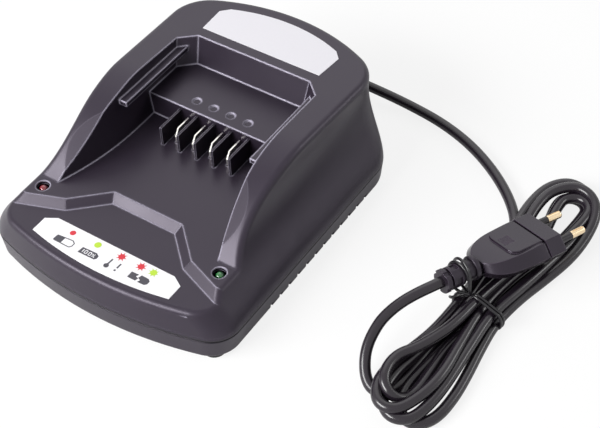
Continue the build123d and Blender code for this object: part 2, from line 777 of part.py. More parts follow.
def common_mode_choke():
    """Two windings on a flat ring core, standing in a plastic base."""
    width, length, height = choke_base
    base = Box(width, length, height, align=(C, C, MIN))
    ring_shape = Rot(90, 0, 0) * (Cylinder(choke_radius, choke_depth) - Cylinder(choke_hole, choke_depth))
    return standing(choke_place, base + Pos(0, 0, height * 0.8 + choke_radius) * ring_shape)


def fuse():
    """Glass tube with metal end caps on two clips."""
    body = Rot(0, 90, 0) * Cylinder(fuse_radius, fuse_span)
    for x in (-fuse_span / 2, fuse_span / 2):
        body += Pos(x, 0, 0) * Rot(0, 90, 0) * Cylinder(fuse_cap_radius, fuse_cap_length)
        clip = Box(fuse_cap_length * 0.7, 2 * fuse_cap_radius, fuse_height, align=(C, C, MAX))
        body += Pos(x, 0, 0) * clip
    return standing(fuse_place, Pos(0, 0, fuse_height) * body)


def power_package(place, turn):
    """Three-legged power part standing upright, metal tab behind the moulded body."""
    width, depth, height = package_body
    thickness, tab_height = package_tab
    body = Pos(0, 0, package_lift) * Box(width, depth, height, align=(C, MIN, MIN))
    tab = Pos(0, depth, package_lift) * Box(width, thickness, tab_height, align=(C, MIN, MIN))
    hole = Pos(0, depth, package_lift + tab_height - width * 0.3) * Rot(90, 0, 0)
    body += tab - hole * Cylinder(width * 0.18, thickness * 4)
    for step in (-leg_pitch, 0, leg_pitch):
        body += Pos(step, depth / 2, 0) * Box(*package_leg, package_lift + 1, align=(C, C, MIN))
    return standing(place, Rot(0, 0, turn) * body)


def heatsink(place, turn, side):
    """Bent aluminium sheet with fins, its foot on the board, behind a power part's tab."""
    width, depth, height = heatsink_size
    plate = Box(width, heatsink_sheet, height, align=(C, MIN, MIN))
    plate += Box(width, depth, heatsink_sheet, align=(C, MIN, MIN))
    for step in (-0.5, 0, 0.5):
        fin = Box(heatsink_fin, depth, height * 0.9, align=(C, MIN, MIN))
        plate += Pos(step * (width - heatsink_fin), heatsink_sheet, height * 0.1) * fin
    back_face = package_body[1] + package_tab[0]
    return standing((place[0] + side * back_face, place[1]), Rot(0, 0, turn) * plate)


def legged_chip(place, size, pins):
    """Moulded chip with legs along both long sides."""
    width, length, height = size
    body = Pos(0, 0, chip_lift) * Box(*size, align=(C, C, MIN))
    body -= Pos(0, length / 2, chip_lift + height) * Cylinder(width * 0.14, height * 0.3)
    for index in range(pins):
        step = (index - (pins - 1) / 2) * leg_pitch
        for side in (-1, 1):
            leg = Box(*package_leg, chip_lift + height / 2, align=(C, C, MIN))
            body += Pos(side * (width / 2 + package_leg[0] / 4), step, 0) * leg
    return standing(place, body)


# ---------------------------------------------------------------- mains lead inside the case
def across(x, y, z, heading, sketch):
    """A sketch set square to a heading in plan."""
    direction = Vector(cos(radians(heading)), sin(radians(heading)), 0)
    side = Vector(-sin(radians(heading)), cos(radians(heading)), 0)
    return Plane(origin=(x, y, z), x_dir=side, z_dir=direction) * sketch


def cord_boot():
    """Bent tapered boot: flange inside the wall, neck through it, curve outside."""
    start_y = back - back_radius + sqrt(back_radius ** 2 - cord_exit_span ** 2) - 1.5
    steps = 6
    rings = [across(cord_exit_span, start_y, cord_exit_height, 90, Circle(boot_root_radius))]
    for index in range(steps + 1):
        share = index / steps
        turn = radians(boot_turn * share)
        x = cord_exit_span + boot_bend * (1 - cos(turn))
        y = start_y + 2.5 + boot_bend * sin(turn)
        z = cord_exit_height + 0.6 * share
        radius = boot_root_radius + (boot_tip_radius - boot_root_radius) * share
        rings.append(across(x, y, z, 90 - boot_turn * share, Circle(radius)))
    bend = loft(rings) - lower_mass()
    seat = Pos(cord_exit_span, boot_seat_y, cord_exit_height)
    flange = seat * Rot(90, 0, 0) * Cylinder(boot_flange_radius, boot_flange, align=(C, C, MIN))
    neck = seat * Rot(-90, 0, 0) * Cylinder(boot_neck_radius, start_y + 3 - boot_seat_y, align=(C, C, MIN))
    return bend + flange + neck


def inner_cord():
    """Straight end of the lead between boot and clamp."""
    start = boot_seat_y - boot_flange
    end = clamp_y - clamp_length
    rod = Rot(90, 0, 0) * Cylinder(cord_diameter / 2, start - end, align=(C, C, MIN))
    return Pos(cord_exit_span, start, cord_exit_height) * rod


def cord_clamp():
    """Saddle screwed down over the lead."""
    low = cord_exit_height + 0.4
    height = cord_diameter / 2 - 0.4 + 2.4
    bar = Box(clamp_width, clamp_length, height, align=(C, C, MIN))
    bar = fillet(bar.edges().group_by(Axis.Z)[-1], 0.8)
    bar = Pos(cord_exit_span, clamp_y, low) * bar
    groove = Pos(cord_exit_span, clamp_y, cord_exit_height) * Rot(90, 0, 0)
    bar -= groove * Cylinder(cord_diameter / 2, 30)
    for side in (-1, 1):
        place = Pos(cord_exit_span + side * clamp_screw_span, clamp_y, low)
        bar -= place * Cylinder(board_screw_radius + 0.2, 20)
    return bar


def cord_clamp_screws():
    top = cord_exit_height + cord_diameter / 2 + 2.4
    one = Rot(180, 0, 0) * screw(board_screw_radius, 9.0, board_screw_head, 1.8)
    y = clamp_y
    return gather([Pos(cord_exit_span + side * clamp_screw_span, y, top) * one for side in (-1, 1)])


def tube(points, radius, name):
    """Round tube along straight runs joined by tangent arcs as wide as the runs allow."""
    bends = []
    for before, at, after in zip(points, points[1:], points[2:]):
        run_in = Vector(*at) - Vector(*before)
        run_out = Vector(*after) - Vector(*at)
        turn = radians(run_in.get_angle(run_out))
        bends.append(0.45 * min(run_in.length, run_out.length) / tan(turn / 2))
    path = FilletPolyline(*points, radius=bends) if bends else Polyline(*points)
    wire = Wire(path.edges())
    section = Plane(origin=points[0], z_dir=Vector(*points[1]) - Vector(*points[0])) * Circle(radius)
    solid = sweep(section, path=wire)
    ideal = pi * radius ** 2 * wire.length
    print(name, "arc radii", [round(b, 1) for b in bends], "length", round(wire.length, 1),
          "volume", round(solid.volume, 1), "section x length", round(ideal, 1))
    return solid


def inside_wire(side, pad_x, pad_gap):
    """Insulated wire from the end of the lead's jacket to its pad on the board."""
    start_y = clamp_y - clamp_length
    x = cord_exit_span + side * 1.35
    rise = board_top + 7
    pad_y = board_back - pad_gap
    points = [
        (x, start_y, cord_exit_height),
        (x, start_y - 5, cord_exit_height),
        (x - 3 + side * 2, start_y - 13, rise),
        (pad_x + 7, pad_y + 1, rise + 1),
        (pad_x, pad_y, rise - 2),
        (pad_x, pad_y, board_top),
    ]
    return tube(points, wire_diameter / 2, "inside wire")


# ---------------------------------------------------------------- mains lead outside the case
def boot_tip():
    """Centre of the boot's outer end."""
    start_y = back - back_radius + sqrt(back_radius ** 2 - cord_exit_span ** 2) + 1.0
    turn = radians(boot_turn)
    x = cord_exit_span + boot_bend * (1 - cos(turn))
    return (x, start_y + boot_bend * sin(turn), cord_exit_height + 0.6)


hank_rim = [
    (143.6, -59.8), (149.5, -67.0), (157.0, -70.6), (166.0, -70.4), (174.0, -66.4), (178.9, -57.4),
    (180.0, -44.0), (178.5, -26.0), (176.8, -8.0), (176.2, 9.0), (179.6, 23.0), (185.6, 45.0),
    (189.2, 66.0), (189.3, 86.0), (184.0, 104.5), (174.5, 115.6), (164.2, 115.6), (155.4, 106.0),
    (150.6, 92.0), (150.0, 74.0), (152.2, 50.0), (154.4, 26.0), (154.2, 7.0), (151.6, -8.0),
    (146.4, -26.0), (142.6, -43.0),
]
lead_route = [
    (20.0, 119.4, 8.8), (38.0, 121.2, 6.4), (57.0, 121.9, 4.2), (79.0, 119.8, 3.2),
    (100.0, 113.4, 3.0), (118.6, 103.6, 3.0), (134.6, 91.8, 3.0), (147.0, 79.2, 3.0), (154.4, 66.4, 3.2),
]
tail_route = [
    (141.6, -13.6, 26.4), (137.4, -20.6, 24.6), (133.9, -28.0, 21.9), (131.7, -35.6, 18.3),
    (131.0, -43.6, 13.8), (132.9, -50.6, 9.4), (138.6, -55.8, 5.6), (147.4, -58.6, 3.4), (156.6, -59.4, 3.2),
]


def hank_body():
    rim = Spline([Vector(x, y) for x, y in hank_rim], periodic=True)
    body = extrude(make_face(rim), hank_height)
    ends = body.edges().group_by(Axis.Z)
    return fillet(ends[0] + ends[-1], hank_round)


def waist(grow=0.0):
    """Slice of the hank at its waist, drawn in by the tie's thickness."""
    slice_box = Box(60, tie_width, hank_height, align=(C, C, MIN))
    return Pos(165, waist_y, 0) * slice_box & hank_body()


def hank_groove():
    """Ring of material at the waist that the tie takes the place of."""
    piece = waist()
    box = piece.bounding_box()
    inner = Box(box.size.X - 2 * tie_thickness, tie_width * 2, hank_height - 2 * tie_thickness)
    inner = fillet(inner.edges().filter_by(Axis.Y), hank_round - tie_thickness)
    middle = Pos((box.min.X + box.max.X) / 2, waist_y, hank_height / 2)
    return piece - middle * inner


def mains_hank():
    return hank_body() - hank_groove()


def mains_lead():
    start = Vector(*boot_tip())
    heading = radians(90 - boot_turn)
    straight = start + Vector(cos(heading), sin(heading), 0) * 8
    return tube([tuple(start), tuple(straight), *lead_route], cord_diameter / 2, "lead") - hank_body()


def plug_turn():
    """Directions of the plug: along its axis, and out of its upper flat."""
    heading, pitch, roll = [radians(angle) for angle in (plug_heading, plug_pitch, plug_roll)]
    along = Vector(cos(heading) * cos(pitch), sin(heading) * cos(pitch), sin(pitch))
    level = Vector(sin(heading), -cos(heading), 0)
    side = level * cos(roll) + level.cross(along) * sin(roll)
    return along, side.cross(along)


plug_axis, plug_up = plug_turn()
plug_place = Plane(origin=plug_start, x_dir=plug_axis, z_dir=plug_up)


def mains_tail():
    start = Vector(*plug_start)
    straight = start - plug_axis * 5
    return tube([tuple(start), tuple(straight), *tail_route], cord_diameter / 2, "tail") - hank_body()


def hexagon(at, width, height):
    """Flat six-sided section of the plug, square to its axis."""
    flat = width / 2 - height * 0.4
    right = [(width / 2, 0), (flat, height / 2)]
    corners = [*right, (-flat, height / 2), (-width / 2, 0), (-flat, -height / 2), (flat, -height / 2)]
    return Plane(origin=(at, 0, 0), x_dir=(0, 1, 0), z_dir=(1, 0, 0)) * Polygon(*corners, align=None)


def ring(at, radius):
    return Plane(origin=(at, 0, 0), x_dir=(0, 1, 0), z_dir=(1, 0, 0)) * Circle(radius)


def drum(at, length, radius):
    """Round piece on the plug's axis."""
    return Pos(at, 0, 0) * Rot(0, 90, 0) * Cylinder(radius, length, align=(C, C, MIN))


def pin_axis(side):
    root_x = plug_neck_length + plug_body_length
    root = Vector(root_x, side * pin_pitch_root / 2, 0)
    tip = Vector(root_x + pin_length, side * pin_pitch_tip / 2, 0)
    return root, tip


def plug_body():
    """Flat moulded grip: face block, groove, raised flats on both sides, round shoulders to the neck."""
    start = plug_neck_length
    face_start = start + plug_body_length - plug_face_length
    grip_end = face_start - plug_groove
    low = 1 - 2 * plug_pad_rise / plug_thickness
    stages = [
        (0, 0.42, 0.66), (0.05, 0.58, 0.72), (0.13, 0.73, 0.8), (0.26, 0.86, 0.9),
        (0.45, 0.94, 0.97), (0.7, 0.975, 1), (1, 0.985, 1),
    ]
    sections = []
    for share, across_share, high_share in stages:
        at = start + share * (grip_end - start)
        sections.append(hexagon(at, plug_width * across_share, plug_thickness * low * high_share))
    body = loft(sections)
    pad = Box(plug_pad_length, plug_pad_width, plug_thickness, align=(MAX, C, C))
    pad = fillet(pad.edges().filter_by(Axis.Z).group_by(Axis.X)[0], plug_pad_corner)
    pad = fillet(pad.faces().sort_by(Axis.Z)[-1].edges() + pad.faces().sort_by(Axis.Z)[0].edges(), 0.5)
    body += Pos(grip_end, 0, 0) * pad
    pitch = grip_patch / 9
    patch_end = grip_end - plug_pad_length + 7.4
    for index in range(9):
        line = Box(pitch * 0.5, grip_patch, 2 * grip_line)
        body -= Pos(patch_end - index * pitch, 0, plug_thickness / 2) * line
    block = extrude(hexagon(face_start, plug_width, plug_thickness), plug_face_length, dir=(1, 0, 0))
    block = fillet(block.edges().filter_by(Axis.X), 0.9)
    bridge = loft([hexagon(grip_end - 1, plug_width * 0.93, plug_thickness * low * 0.86),
                   hexagon(face_start + 1, plug_width * 0.93, plug_thickness * low * 0.86)])
    return plug_place * (body + block + bridge)


def tie_collar():
    """Loop of the tie round the plug's neck."""
    band = ring(tie_neck_place, neck_waist_radius + tie_thickness) - ring(tie_neck_place, neck_waist_radius)
    return plug_place * extrude(band, tie_width, dir=(1, 0, 0))


def plug_neck():
    """Strain relief: lobed end ring, collar with windows, waist for the tie, flange and open slots."""
    core = drum(0, plug_neck_length, neck_core_radius)
    end_ring = drum(0, neck_end_length, neck_end_radius)
    for turn in (25, 115, 205, 295):
        end_ring -= Rot(turn, 0, 0) * Pos(0, 0, neck_end_radius) * Box(3 * neck_end_length, 2.6, 1.8)
    collar_start = neck_end_length + neck_slot
    collar = drum(collar_start, neck_collar_length, neck_collar_radius)
    window_at = collar_start + neck_collar_length / 2
    for turn in (0, 90, 180, 270):
        window = Box(neck_collar_length * 0.46, 4.4, 2.4)
        collar -= Rot(turn, 0, 0) * Pos(window_at, 0, neck_collar_radius) * window
    flange_start = plug_neck_length - neck_slot - neck_flange_length
    waist_start = collar_start + neck_collar_length
    middle = drum(waist_start, flange_start - waist_start, neck_waist_radius)
    flange = drum(flange_start, neck_flange_length, neck_flange_radius)
    flange = fillet(flange.edges().filter_by(GeomType.CIRCLE), 0.9)
    return plug_place * (core + end_ring + collar + middle + flange)


def pin_part(side, start, end, radius):
    root, tip = pin_axis(side)
    direction = (tip - root).normalized()
    place = Plane(origin=root + direction * start, z_dir=direction)
    return place * Cylinder(radius, end - start, align=(C, C, MIN))


def plug_pins():
    pins = []
    for side in (-1, 1):
        pin = pin_part(side, sleeve_length, pin_length, pin_diameter / 2)
        pin = fillet(pin.edges().sort_by(Axis.X)[-1], 1.4)
        seam = Box(pin_length - sleeve_length, pin_seam, 0.6, align=(MIN, C, C))
        pin -= Pos(plug_neck_length + plug_body_length + sleeve_length + 1, 0, pin_diameter / 2) * (
            Pos(0, side * (pin_pitch_root + pin_pitch_tip) / 4, 0) * seam
        )
        pins.append(plug_place * pin)
    return gather(pins)


def pin_sleeves():
    radius = pin_diameter / 2 - 0.1
    grip = plug_body()
    return gather([plug_place * pin_part(side, 0, sleeve_length, radius) - grip for side in (-1, 1)])


def twist_tie():
    """Tie in a figure of eight: once round the hank's waist, once round the plug's neck, twisted between."""
    loop_side = Vector(tie_neck_place + tie_width / 2, -neck_waist_radius * 0.72, -neck_waist_radius * 0.72)
    start = plug_place.from_local_coords(loop_side)
    end = Vector(160.6, waist_y, hank_height - tie_thickness / 2)
    stem = Plane(origin=start, z_dir=end - start)
    stem *= Cylinder(tie_strand, (end - start).length, align=(C, C, MIN))
    tie = hank_groove() + tie_collar() + stem
    return tie - mains_hank() - plug_neck()


# ---------------------------------------------------------------- every piece and its file
pieces = {
    "upper_housing": upper_housing(),
    "lower_housing": lower_housing(),
    "rubber_feet": rubber_feet(),
    "housing_screws": housing_screws(),
    "status_label": status_label(),
    "top_label": top_label(),
    "red_lamp": lamp(-1),
    "green_lamp": lamp(1),
    "lamp_spacers": lamp_spacers(),
    "lamp_leads": lamp_leads(),
    "contact_guard": contact_guard(),
    "contact_blades": contact_blades(),
    "circuit_board": circuit_board(),
    "board_screws": board_screws(),
    "transformer_core": transformer_core(),
    "transformer_winding": transformer_winding(),
    "input_capacitor": input_capacitor(),
    "output_capacitors": output_capacitors(),
    "common_mode_choke": common_mode_choke(),
    "suppression_capacitor": block_on_board(suppression_place, suppression_size),
    "fuse": fuse(),
    "bridge_rectifier": block_on_board(bridge_place, bridge_size),
    "switching_transistor": power_package(primary_place, 90),
    "primary_heatsink": heatsink(primary_place, 90, -1),
    "output_diode": power_package(secondary_place, -90),
    "secondary_heatsink": heatsink(secondary_place, -90, 1),
    "controller_chip": legged_chip(controller_place, controller_size, 4),
    "optocoupler": legged_chip(optocoupler_place, optocoupler_size, 2),
    "cord_clamp": cord_clamp(),
    "cord_clamp_screws": cord_clamp_screws(),
    "inner_cord": inner_cord(),
    "live_wire": inside_wire(-1, *live_pad),
    "neutral_wire": inside_wire(1, *neutral_pad),
    "cord_boot": cord_boot(),
    "mains_lead": mains_lead(),
    "mains_hank": mains_hank(),
    "mains_tail": mains_tail(),
    "plug_body": plug_body(),
    "plug_neck": plug_neck(),
    "plug_pins": plug_pins(),
    "pin_sleeves": pin_sleeves(),
    "twist_tie": twist_tie(),
}
os.makedirs("parts", exist_ok=True)
for name, shape in pieces.items():
    export_step(shape, f"parts/{name}.step")
print(len(pieces), "pieces written")
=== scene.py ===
"""Looks of a power tool battery charger: finishes, printed signs, mains cord, tie, camera and studio."""

import json
import math

import bmesh
import bpy
from mathutils import Matrix, Vector

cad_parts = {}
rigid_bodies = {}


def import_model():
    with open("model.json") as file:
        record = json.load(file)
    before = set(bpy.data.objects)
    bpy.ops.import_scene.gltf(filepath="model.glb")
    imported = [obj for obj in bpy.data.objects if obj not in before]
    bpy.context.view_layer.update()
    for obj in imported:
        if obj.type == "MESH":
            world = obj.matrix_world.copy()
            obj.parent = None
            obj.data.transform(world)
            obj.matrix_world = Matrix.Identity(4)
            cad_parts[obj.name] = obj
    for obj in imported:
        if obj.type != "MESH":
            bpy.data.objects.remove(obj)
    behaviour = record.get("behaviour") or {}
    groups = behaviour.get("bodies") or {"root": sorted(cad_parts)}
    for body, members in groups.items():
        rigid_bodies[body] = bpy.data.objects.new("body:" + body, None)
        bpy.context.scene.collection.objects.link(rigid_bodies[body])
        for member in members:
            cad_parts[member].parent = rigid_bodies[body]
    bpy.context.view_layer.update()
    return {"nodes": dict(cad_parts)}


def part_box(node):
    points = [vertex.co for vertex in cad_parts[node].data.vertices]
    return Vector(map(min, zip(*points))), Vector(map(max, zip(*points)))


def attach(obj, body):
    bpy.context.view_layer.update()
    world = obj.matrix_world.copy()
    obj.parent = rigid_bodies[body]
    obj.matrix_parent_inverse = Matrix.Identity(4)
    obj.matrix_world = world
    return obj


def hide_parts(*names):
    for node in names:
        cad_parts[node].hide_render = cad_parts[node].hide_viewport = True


bl_info = {
    "name": "Battery Charger Looks",
    "version": (1, 0, 0),
    "blender": (4, 0, 0),
    "location": "View3D > Sidebar > Charger",
    "description": "Finishes, printed signs, coiled mains cord and studio for a power tool battery charger",
    "category": "Object",
}

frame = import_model()
NODES = frame["nodes"]
MM = 0.001


# ------------------------------------------------------------------ measures taken from the frame
def low(node):
    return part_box(node)[0]


def high(node):
    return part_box(node)[1]


LABEL_LEVEL = high("status_label").z
SEAM_LEVEL = low("upper_housing").z


# ------------------------------------------------------------------ shader sums
class Value:
    """A socket of a material. Sums written with it become nodes."""

    def __init__(self, paint, socket):
        self.paint = paint
        self.socket = socket

    def _sum(self, operation, first, second):
        return self.paint.node("ShaderNodeMath", {"operation": operation}, {0: first, 1: second})

    def __sub__(self, other):
        return self._sum("SUBTRACT", self, other)

    def __rsub__(self, other):
        return self._sum("SUBTRACT", other, self)

    def __mul__(self, other):
        return self._sum("MULTIPLY", self, other)


GRAIN_ROUGHNESS = 0.6
GRAIN_SPAN = (0.3, 0.7)         # values that the noise mostly keeps between
BEVEL_SAMPLES = 6
EDGE_LEAN = (0.004, 0.08)       # how far a rounded direction leans where an edge begins and is full


class Paint:
    """A material being built round one Principled surface."""

    def __init__(self, name):
        self.material = bpy.data.materials.new(name)
        self.material.use_nodes = True
        self.tree = self.material.node_tree
        self.surface = self.tree.nodes["Principled BSDF"]

    def node(self, kind, settings=None, inputs=None, output=0):
        made = self.tree.nodes.new(kind)
        for name, value in (settings or {}).items():
            setattr(made, name, value)
        for key, value in (inputs or {}).items():
            self._feed(made.inputs[key], value)
        return Value(self, made.outputs[output])

    def _feed(self, socket, value):
        if isinstance(value, Value):
            self.tree.links.new(value.socket, socket)
        else:
            socket.default_value = value

    def place(self):
        """Where a point lies on the part, in metres."""
        return self.node("ShaderNodeTexCoord", output="Object")

    def split(self, vector):
        apart = self.node("ShaderNodeSeparateXYZ", inputs={"Vector": vector})
        outputs = apart.socket.node.outputs
        return [Value(self, outputs[axis]) for axis in ("X", "Y", "Z")]

    def grain(self, scale, detail=2.0):
        settings = {"noise_dimensions": "3D"}
        inputs = {"Vector": self.place(), "Scale": scale, "Detail": detail, "Roughness": GRAIN_ROUGHNESS}
        return self.node("ShaderNodeTexNoise", settings, inputs)

    def spread(self, value, start, end, out_start, out_end):
        inputs = {0: value, 1: start, 2: end, 3: out_start, 4: out_end}
        return self.node("ShaderNodeMapRange", {}, inputs)

    def evenly(self, grain, first, second):
        """Grain spread out from one value to the other."""
        return self.spread(grain, *GRAIN_SPAN, first, second)

    def mix(self, factor, first, second):
        settings = {"data_type": "RGBA"}
        return self.node("ShaderNodeMix", settings, {0: factor, 6: first, 7: second}, output=2)

    def mottled(self, grain, base, darkest, lightest):
        """The base tone, a little darker and lighter with the grain."""
        return self.mix(self.evenly(grain, 0.0, 1.0), shade(base, darkest), shade(base, lightest))

    def rounded(self, radius):
        """Surface direction with the sharp edges of the piece rounded off."""
        return self.node("ShaderNodeBevel", {"samples": BEVEL_SAMPLES}, {"Radius": radius})

    def edge(self, rounded):
        """Nothing on flat faces, rising to one on a rounded edge."""
        flat = self.node("ShaderNodeNewGeometry", output="Normal")
        both = {0: rounded, 1: flat}
        same = self.node("ShaderNodeVectorMath", {"operation": "DOT_PRODUCT"}, both, output="Value")
        return self.spread(1.0 - same, *EDGE_LEAN, 0.0, 1.0)

    def bump(self, height, distance, strength, normal=None):
        inputs = {"Height": height, "Distance": distance, "Strength": strength}
        if normal:
            inputs["Normal"] = normal
        return self.node("ShaderNodeBump", {}, inputs)

    def set(self, **values):
        for name, value in values.items():
            self._feed(self.surface.inputs[name.replace("_", " ").title().replace("Ior", "IOR")], value)
        return self.material


def colour(red, green, blue):
    """A colour written as it looks on a screen, 0 to 255, turned into light values."""

    def line(part):
        part /= 255
        return part / 12.92 if part <= 0.04045 else ((part + 0.055) / 1.055) ** 2.4

    return (line(red), line(green), line(blue), 1.0)


def shade(base, factor):
    return (base[0] * factor, base[1] * factor, base[2] * factor, 1.0)


# ------------------------------------------------------------------ finishes
SHEEN = colour(246, 238, 255)
SHEEN_LEVEL = 0.42
BROAD_GRAIN = 28.0              # slow unevenness over a moulded piece, in waves a metre
MOULD_BUMP = 0.35
EDGE_POLISH = 0.45              # share of its roughness that a polished edge loses
SEAM_DARK = (0.0005, 0.001)     # half width of the dark seam line: full dark, then faded out
EDGE_FADE = (0.0012, 0.003)     # height over the seam where the painted edge highlight and the edge polish begin and are full


def moulded_plastic(
    name, base, roughness, grain_size, grain_depth, edge_radius=0.0, edge_highlight_tone=None, seam=None
):
    """Plastic with the fine grain that an eroded mould leaves, uneven in gloss, glossier at its edges and
    painted lighter there as a highlight.
    """
    paint = Paint(name)
    fine = paint.grain(1.0 / grain_size, 3.0)
    broad = paint.grain(BROAD_GRAIN)
    tone = paint.mottled(broad, base, 0.94, 1.06)
    gloss = paint.evenly(broad, roughness - 0.03, roughness + 0.04)
    if not edge_radius:
        return paint.set(base_color=tone, roughness=gloss, normal=paint.bump(fine, grain_depth, MOULD_BUMP))
    rounded = paint.rounded(edge_radius)
    edge = paint.edge(rounded)
    if seam is not None:
        height = paint.split(paint.place())[2]
        edge = edge * paint.spread(height, seam + EDGE_FADE[0], seam + EDGE_FADE[1], 0.0, 1.0)
        away = paint.node("ShaderNodeMath", {"operation": "ABSOLUTE"}, {0: height - seam})
        tone = paint.mix(paint.spread(away, *SEAM_DARK, 1.0, 0.0), tone, shade(base, 0.1))
    # painted highlight: a lighter tone mixed onto the rounded edges
    tone = paint.mix(edge, tone, edge_highlight_tone)
    gloss = gloss - edge * roughness * EDGE_POLISH
    normal = paint.bump(fine, grain_depth, MOULD_BUMP, rounded)
    paint.set(specular_ior_level=SHEEN_LEVEL, specular_tint=SHEEN)
    return paint.set(base_color=tone, roughness=gloss, normal=normal)


def dull_rubber(name, base):
    paint = Paint(name)
    fine = paint.grain(2600.0)
    tone = paint.mottled(fine, base, 0.9, 1.1)
    return paint.set(base_color=tone, roughness=0.72, normal=paint.bump(fine, 0.00006, 0.3))


def plated_metal(name, base, roughness):
    """Metal with fine streaks that run along X."""
    paint = Paint(name)
    both = {0: paint.place(), 1: (1.0, 12.0, 12.0)}
    stretch = paint.node("ShaderNodeVectorMath", {"operation": "MULTIPLY"}, both)
    streaks = paint.node("ShaderNodeTexNoise", {}, {"Vector": stretch, "Scale": 240.0, "Detail": 3.0})
    gloss = paint.evenly(streaks, roughness * 0.8, roughness * 1.25)
    tone = paint.mix(streaks, shade(base, 0.93), base)
    return paint.set(base_color=tone, metallic=1.0, roughness=gloss)


def lens(name, base):
    """Tinted lens of a signal lamp, glossy and slightly uneven in tone."""
    paint = Paint(name)
    fine = paint.grain(900.0)
    tone = paint.mix(paint.spread(fine, 0.35, 0.65, 0.0, 1.0), shade(base, 0.7), base)
    return paint.set(base_color=tone, roughness=0.12, coat_weight=1.0)


def plain(name, base, roughness, metallic=0.0):
    """Finish of the small parts inside, slightly uneven in tone."""
    paint = Paint(name)
    tone = paint.mottled(paint.grain(700.0), base, 0.92, 1.05)
    return paint.set(base_color=tone, roughness=roughness, metallic=metallic)


def film(name, base):
    """Printed sticker film: smooth, with the faint orange peel of its varnish."""
    paint = Paint(name)
    peel = paint.grain(900.0)
    tone = paint.mottled(peel, base, 0.985, 1.0)
    gloss = paint.evenly(peel, 0.3, 0.36)
    return paint.set(base_color=tone, roughness=gloss, normal=paint.bump(peel, 0.000006, 0.2))


def seen_rays(paint, direct, mirrored):
    """One share for what is seen directly or through glass, another for what is seen in a gloss."""
    camera = paint.node("ShaderNodeLightPath", output="Is Camera Ray")
    rays = camera.socket.node.outputs
    gloss = Value(paint, rays["Is Glossy Ray"])
    glass = Value(paint, rays["Is Transmission Ray"])
    clear = paint.node("ShaderNodeMath", {"operation": "MAXIMUM"}, {0: camera, 1: glass})
    return paint.node("ShaderNodeMath", {"operation": "MAXIMUM"}, {0: clear * direct, 1: gloss * mirrored})


def put(material, *nodes):
    """Gives the finish to the material slots of the CAD pieces."""
    for node in nodes:
        thing = NODES[node]
        if not thing.material_slots:
            thing.data.materials.append(material)
        for slot in thing.material_slots:
            slot.link = "OBJECT"
            slot.material = material


# ------------------------------------------------------------------ sizes and colours a user may change
class ChargerSettings(bpy.types.PropertyGroup):
    shell_colour: bpy.props.FloatVectorProperty(
        name="Shell colour", description="Plastic of both halves of the case", subtype="COLOR",
        size=4, min=0.0, max=1.0, default=colour(37, 31, 41),
    )
    # painted highlight: the lighter tone given to the rounded edges of the case
    edge_highlight_colour: bpy.props.FloatVectorProperty(
        name="Edge colour", description="Tone of the polished edges of the case", subtype="COLOR",
        size=4, min=0.0, max=1.0, default=colour(172, 167, 184),
    )
    shell_roughness: bpy.props.FloatProperty(
        name="Shell roughness", description="How dull the case is", subtype="FACTOR",
        min=0.0, max=1.0, default=0.36,
    )
    cord_colour: bpy.props.FloatVectorProperty(
        name="Cord colour", description="Sheath of the mains cord and plug", subtype="COLOR",
        size=4, min=0.0, max=1.0, default=colour(31, 25, 33),
    )
    cord_thickness: bpy.props.FloatProperty(
        name="Cord thickness", description="Outer diameter of the mains cord", unit="LENGTH",
        min=0.004, max=0.009, default=0.0058,
    )


class CameraSettings(bpy.types.PropertyGroup):
    focal_length: bpy.props.FloatProperty(
        name="Focal length", description="Focal length of the lens in millimetres",
        min=20.0, max=200.0, default=84.0,
    )
    place: bpy.props.FloatVectorProperty(
        name="Place", description="Where the camera stands", subtype="TRANSLATION", unit="LENGTH",
        size=3, default=(0.3502, -0.4018, 0.5471),
    )


# ------------------------------------------------------------------ camera and studio
SENSOR_WIDTH = 36.0
CAMERA_RIGHT = Vector((0.832806, 0.552637, -0.032053))
CAMERA_UP = Vector((-0.383273, 0.617423, 0.686943))
FLOOR_HALF = 3.0
FLOOR_GAP = 0.0002              # the studio floor lies this far under the feet
FLOOR_SEEN = 0.84               # share of plain white in the floor as it is seen
FLOOR_MIRRORED = 0.3            # the same in a gloss
LIGHT_LEVEL = 0.22              # soft light of the surroundings
WHITE_LEVEL = 1.0               # how bright the surroundings look
LAMP_AIM = Vector((0.03, 0.0, 0.02))
LAMPS = (
    # name, place, width, height, watts
    ("key_light", (-0.56, -1.18, 0.9), 1.2, 0.5, 38.0),
    ("back_light", (-0.64, 0.9, 1.17), 1.4, 1.4, 5.0),
    ("side_light", (1.07, 0.86, 0.6), 0.5, 0.3, 2.6),
)


